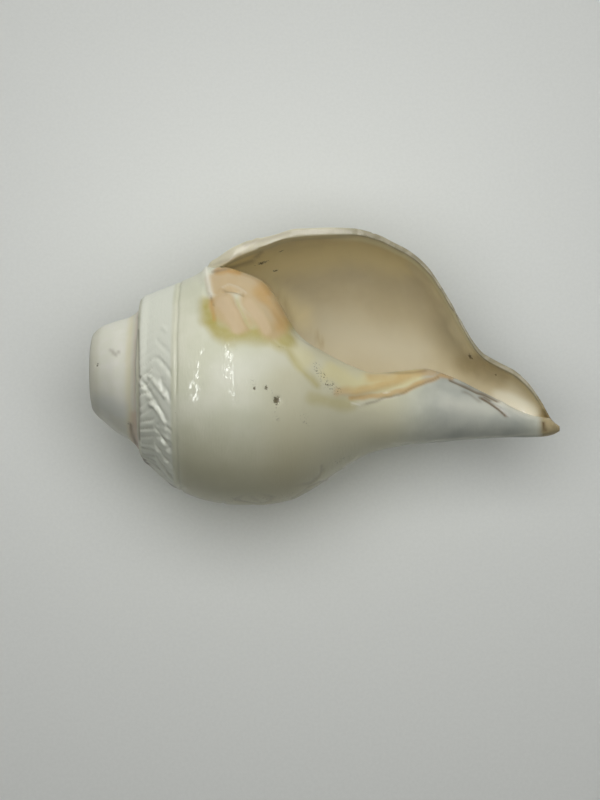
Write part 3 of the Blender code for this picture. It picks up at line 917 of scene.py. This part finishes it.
def tone(red, green, blue):
    """A linear colour from screen values, as a surface lit like the pale floor shows them."""
    def linear(value):
        value /= 255
        return ((value + 0.055) / 1.055) ** 2.4 / 0.68
    return (linear(red), linear(green), linear(blue), 1)


print("ivory as a linear colour", np.round(tone(190, 190, 172), 3))

# %% [markdown]
# ## The shell's surface
# The body is polished ivory with a clear gloss. The masks bring in the other colours, and noise
# at several sizes keeps every border and every field from being even. A few dark specks are
# placed one by one, each at the point of the surface where the photo shows it.

# %% Specks, as picture places and half sizes in millimetres
PIXEL = 0.318 * MM
SPECKS = []
for across, down, wide, tall in (
        (264, 264, 1.9, 0.8), (274.5, 270, 0.8, 0.5), (283, 252, 0.9, 0.5), (406, 266, 0.5, 0.35),
        (411.5, 262.5, 0.35, 0.35), (468, 357, 2.0, 0.8), (483, 366.5, 0.4, 0.35),
        (494.5, 375.5, 0.5, 0.4), (276.5, 400.5, 0.9, 1.0), (266, 388, 0.35, 0.6),
        (158, 425, 0.4, 0.4), (128, 425, 0.3, 0.7), (486, 400, 0.8, 0.35), (254.5, 388.5, 0.3, 0.5),
        (182, 489, 0.7, 0.5), (338, 462, 0.3, 0.3), (97, 365, 0.35, 0.6)):
    off = np.linalg.norm(picture - (across, down), axis=1)
    close = np.flatnonzero(off < max(2.5, off.min() + 0.5))
    nearest = close[np.argmax(spot[close, 2] - off[close] * 0.0003)]
    at = in_photo(spot[nearest])
    move = (np.array((across, down)) - at) * PIXEL
    SPECKS.append((*(float(v) for v in spot[nearest] + (move[0], -move[1], 0)), wide, tall))
print("specks", len(SPECKS))

# %% Noises and masks for the enamel
enamel = Surface.new("shell_layers")
here = enamel.node("ShaderNodeTexCoord", {}, {}, "Object")
sheet_at = enamel.node("ShaderNodeUVMap", {"uv_map": "wrap"}, {}, 0)
cloudy = enamel.noise(here, 70.0, 3.0)
blotch = enamel.noise(here, 260.0, 4.0)
speckle = enamel.noise(here, 1100.0, 3.0)
dots = enamel.noise(here, 1500.0, 3.0, 0.7)
growth = enamel.noise(enamel.stretch(sheet_at, (150.0, 250.0, 1.0)), 1.0, 3.0, 0.6)
leaning = enamel.node("ShaderNodeMapping", {"vector_type": "TEXTURE"},
                      {"Vector": here, "Rotation": (0, 0, -0.2), "Scale": (0.00055, 0.0018, 0.0018)})
dashes = enamel.noise(leaning, 1.0, 2.0, 0.5)
read = {name: enamel.read(name) for name in masks}
print("nodes", len(enamel.tree.nodes))

# %% [markdown]
# ## Colours in coats
# Each colour goes over the ones before it, as glaze does, by its own mask and strength. The
# broad tones of the body come first, then callus, chamber and rim, and last the fine marks.


# %% Ivory, canal, band and cone
def patchy(noise_value, low, high, dark, light):
    """Two shades that a noise mixes."""
    return enamel.mix(noise_value.steep(low, high), tone(*dark), tone(*light))


def lay(under, *coats):
    """Coats over a colour, each given as a mask, a strength and a shade."""
    for name, strength, shade in coats:
        over = shade if isinstance(shade, Value) else tone(*shade)
        under = enamel.mix(read[name] * strength, under, over)
    return under


colour = lay(patchy(cloudy, 0.35, 0.68, (188, 189, 168), (197, 197, 179)),
             ("warm", 0.8, (180, 176, 150)),
             # painted sheen beside the crest
             ("painted_sheen", 0.35, (200, 201, 188)),
             ("grey", 1.0, patchy(cloudy, 0.35, 0.7, (147, 150, 142), (165, 167, 157))),
             # painted shade on the lower side of the body
             ("under", 0.6, (158, 152, 122)),
             ("cone", 1.0, patchy(blotch, 0.35, 0.7, (197, 197, 183), (200, 199, 188))),
             ("cone_edge", 0.25, (160, 156, 128)),
             ("cone_gold", 0.35, (206, 196, 146)),
             ("cone_rust", 0.5, (176, 142, 112)),
             ("cone_blue", 0.3, (172, 178, 178)),
             ("band", 1.0, (200, 202, 189)))
print("nodes", len(enamel.tree.nodes))

# %% Callus beside the aperture
colour = lay(colour,
             ("cream", 0.85, (190, 183, 142)),
             ("olive", 0.65 + 0.5 * blotch, (158, 147, 84)),
             ("peach", 0.75 + 0.3 * cloudy, (176, 155, 119)),
             ("pink", 0.55, (186, 167, 138)),
             ("amber", 0.6 + 0.6 * blotch, (172, 136, 78)))
print("nodes", len(enamel.tree.nodes))

# %% Chamber, rim and tip
# The chamber's tan, with painted light and painted shade laid over it
tan = lay(patchy(cloudy, 0.3, 0.7, (183, 173, 145), (190, 181, 155)),
          # painted light on the chamber's floor
          ("painted_light_floor", 1.0, (194, 187, 164)),
          # painted light on the walls under the rim and beside the callus
          ("painted_light_wall", 1.0, (212, 201, 165)),
          # painted shade deep on the right of the chamber
          ("painted_shade_wall", 0.8, (158, 149, 121)),
          # painted light on the wall under the right of the rim
          ("painted_light_rim_wall", 0.85, (214, 208, 184)),
          ("stain", 0.8, (158, 136, 78)))
colour = lay(colour,
             ("chamber", 1.0, tan),
             ("rim", 1.0, patchy(blotch, 0.4, 0.62, (134, 128, 106), (154, 148, 128))),
             # painted light where the rim turns into the chamber
             ("painted_light_lip_turn", 0.8, (222, 220, 200)),
             ("thick_rim", 0.85, (198, 194, 173)),
             ("horn", 0.85, patchy(blotch, 0.35, 0.65, (138, 121, 80), (156, 139, 100))))
print("nodes", len(enamel.tree.nodes))

# %% Chalk and a painted highlight, grime and painted shade, dust and specks
colour = lay(colour,
             # chalk on worn edges, with a painted highlight on the first fold
             ("chalk_and_highlight", 0.8, (206, 204, 190)),
             # painted shade in the band's cuts
             ("cut", 0.35, (150, 148, 128)),
             # grime in the cracks, and painted shade in creases, under the lip's end and at the band's
             # step
             ("grime_and_shade", 0.85, (86, 66, 40)))
dust = speckle.steep(0.70, 0.78) * blotch.steep(0.5, 0.62)
colour = enamel.mix(dust * 0.3, colour, tone(120, 108, 80))
colour = lay(colour, ("dirty", dots.steep(0.56, 0.64) * 0.85, (70, 58, 34)))
for *at, wide, tall in SPECKS:
    colour = enamel.mix(enamel.speck(here, at, wide, tall, dots) * 0.85, colour, tone(72, 62, 36))
enamel.feed("Base Color", colour)
print("nodes", len(enamel.tree.nodes))

# %% [markdown]
# ## Gloss and relief
# A thin clear coat over a softer base looks like polished enamel. Its strength falls to nothing
# along the two long reflections, and a noise stretched round the shell lets it through there in
# dashes. The finest growth lines are a bump, too small for the mesh to hold.

# %% Roughness, bump and coat
enamel.feed("Roughness", (0.36 + 0.16 * blotch + 0.15 * read["cone"] + 0.1 * read["band"]
                          + 0.2 * read["cut"] + 0.15 * read["rim"] + 0.1 * read["grey"]).clamp())
ragged = growth * 0.4 * (1.0 - read["cone"]) * (1.0 - read["chamber"])
enamel.feed("Normal", enamel.bump(ragged + speckle * 0.06 + blotch * 0.1, 0.00022))
lit_dash = dashes.steep(0.515, 0.56)
enamel.feed("Coat Weight", 0.3 * (1.0 - read["streaks"]) + lit_dash * read["rippled"])
for name, value in (("Specular IOR Level", 0.15), ("Coat Roughness", 0.06), ("IOR", 1.52)):
    enamel.shader.inputs[name].default_value = value
mesh.materials.clear()
mesh.materials.append(enamel.material)
for face in mesh.polygons:
    face.use_smooth = True
mesh.update()
print("material nodes", len(enamel.tree.nodes))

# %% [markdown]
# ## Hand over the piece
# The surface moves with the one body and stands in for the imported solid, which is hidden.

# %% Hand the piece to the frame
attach(shell, "root")
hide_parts(SHELL)
print(shell.name, "takes the place of", SHELL)

# %% [markdown]
# ## Floor
# The shell lies on a pale sheet with a faint fibre, wide enough that no view sees its edge.

# %% Floor
bpy.ops.mesh.primitive_grid_add(x_subdivisions=4, y_subdivisions=4, size=6)
floor = bpy.context.object
floor.name = "floor"
paper = Surface.new("pale_sheet")
ground = paper.node("ShaderNodeTexCoord", {}, {}, "Object")
fibre = paper.noise(ground, 900.0, 3.0)
paper.feed("Base Color", paper.mix(fibre.steep(0.3, 0.7), (0.758, 0.775, 0.744, 1),
                                   (0.778, 0.795, 0.764, 1)))
paper.shader.inputs["Roughness"].default_value = 0.9
floor.data.materials.append(paper.material)
print("floor", tuple(floor.dimensions))

# %% [markdown]
# ## Studio light
# A broad soft light over the sheet throws the soft shadow towards the viewer, and a small card
# behind the lip keeps the sheet bright there. The shell has two soft lights of its own, so
# that its shading can be set apart from its shadow. Two long tubes overhead are seen only as
# reflections: they are the two rows of bright dashes.


# %% A soft panel
def panel(name, where, target, wide, long, power, lit=None):
    """A soft rectangular light, which may be meant for one thing alone."""
    light = bpy.data.lights.new(name, "AREA")
    light.shape, light.size, light.size_y, light.energy = "RECTANGLE", wide, long, power
    lamp = bpy.data.objects.new(name, light)
    bpy.context.collection.objects.link(lamp)
    lamp.location = where
    lamp.rotation_euler = (Vector(target) - Vector(where)).to_track_quat("-Z", "Y").to_euler()
    if lit:
        group = bpy.data.collections.new(name + "_lights")
        group.objects.link(lit)
        lamp.light_linking.receiver_collection = group
    return lamp


print("lights before the panels", len(bpy.data.lights))

# %% Panels, card and tubes
soft = (panel("over_sheet", (0.0, 0.06, 0.5), (0.02, 0.33, 0), 0.46, 0.46, 2.0, floor),
        panel("behind_lip", (-0.01, 0.075, 0.09), (-0.01, 0.06, 0), 0.16, 0.03, 0.0105, floor),
        panel("over_shell", (0.01, 0.17, 0.55), (0, 0, 0.04), 0.4, 0.4, 1.88, shell),
        panel("window", (0.1, 1.4, 0.55), (0, 0, 0.04), 1.8, 0.8, 4.6, shell))
for lamp in soft:
    lamp.visible_glossy = False
bpy.data.objects["behind_lip"].visible_camera = False
TUBE_HIGH, TUBE_LONG, TUBE_WIDE = 1.2, 1.3, 0.24
centre = (0, 0, 0.08)
for name, lean, power in (("tube_near", 2.5, 10.0), ("tube_side", 28, 12.5)):
    lean = math.radians(lean)
    at = (-TUBE_HIGH * math.sin(lean), 0.0, centre[2] + TUBE_HIGH * math.cos(lean))
    panel(name, at, centre, TUBE_LONG, TUBE_WIDE, power).visible_diffuse = False
world = bpy.data.worlds.new("studio")
bpy.context.scene.world = world
world.use_nodes = True
world.node_tree.nodes["Background"].inputs["Color"].default_value = (0.99, 1.0, 0.95, 1)
world.node_tree.nodes["Background"].inputs["Strength"].default_value = 0.088

# %% [markdown]
# ## Camera
# The photo's view, from the numbers that placed the relief and the colours above.

# %% Camera
SENSOR = 36
lens = bpy.data.cameras.new("camera")
camera = bpy.data.objects.new("camera", lens)
bpy.context.collection.objects.link(camera)
camera.location = eye
camera.rotation_euler = Vector(-behind).to_track_quat("-Z", "Y").to_euler()
lens.sensor_fit = "VERTICAL"
lens.sensor_height = SENSOR
lens.lens = FOCAL / HIGH * SENSOR
bpy.context.scene.camera = camera
bpy.context.scene.view_settings.view_transform = "Standard"
print("lens", round(lens.lens, 1), "mm")
